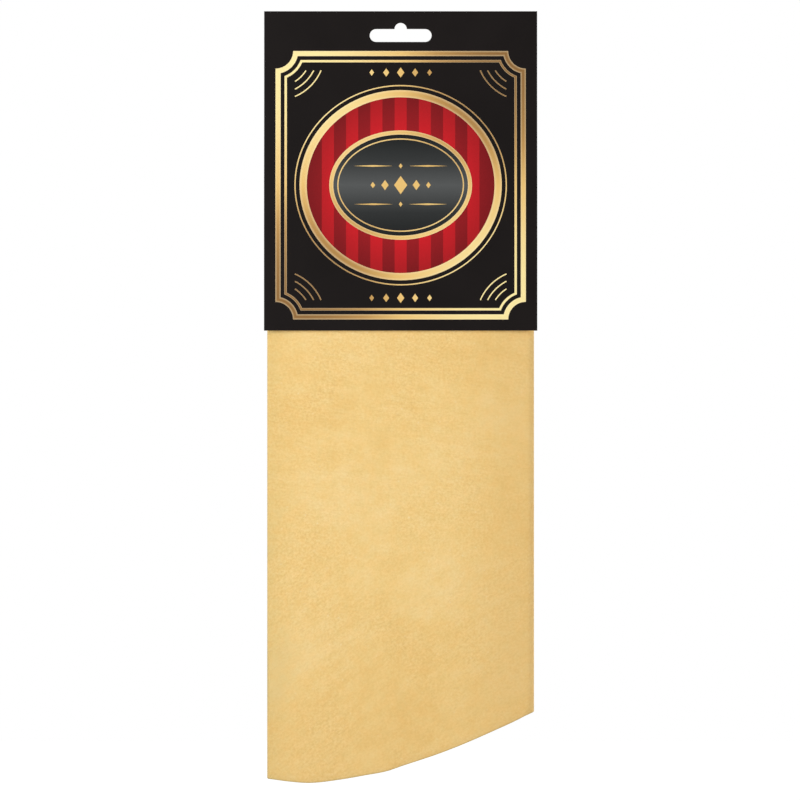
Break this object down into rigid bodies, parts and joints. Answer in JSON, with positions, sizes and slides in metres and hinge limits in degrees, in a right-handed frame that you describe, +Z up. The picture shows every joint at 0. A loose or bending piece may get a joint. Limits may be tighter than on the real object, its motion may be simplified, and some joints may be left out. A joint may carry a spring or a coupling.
{
  "type": "packed chamois leather",
  "caption": "Soft natural chamois leather folded flat and tucked into a creased black header card with a hang slot.",
  "frame": {"origin": "top of the round notch of the hang slot, where a hook bears, midway between the two card panels", "axes": "+Z up along the hanging pack, -Y towards the viewer of the printed front, +X to the viewer's right"},
  "size_m": [0.1396, 0.012, 0.3944],
  "materials": {
    "header_front_panel": "satin",
    "header_back_panel": "satin",
    "header_crease": "satin",
    "chamois_hide": "matte",
    "front_holding_strip": "satin",
    "back_holding_strip": "satin",
    "left_closing_strip": "satin",
    "right_closing_strip": "satin"
  },
  "bodies": {
    "header_front": {"header_front_panel": "header_front_panel", "header_crease": "header_crease", "front_holding_strip": "front_holding_strip", "left_closing_strip": "left_closing_strip", "right_closing_strip": "right_closing_strip"},
    "header_back": {"header_back_panel": "header_back_panel", "back_holding_strip": "back_holding_strip"},
    "hide": {"chamois_hide": "chamois_hide"}
  },
  "joints": [
    {"name": "header_open", "type": "hinge", "parent": "header_front", "child": "header_back", "pos_m": [0, 0, 0.00513], "axis": [1, 0, 0], "range_deg": [0, 180], "deforming": ["header_crease"]},
    {"name": "hide_pull_out", "type": "slide", "parent": "header_front", "child": "hide", "axis": [0, 0, -1], "range_m": [0, 0.045]}
  ]
}
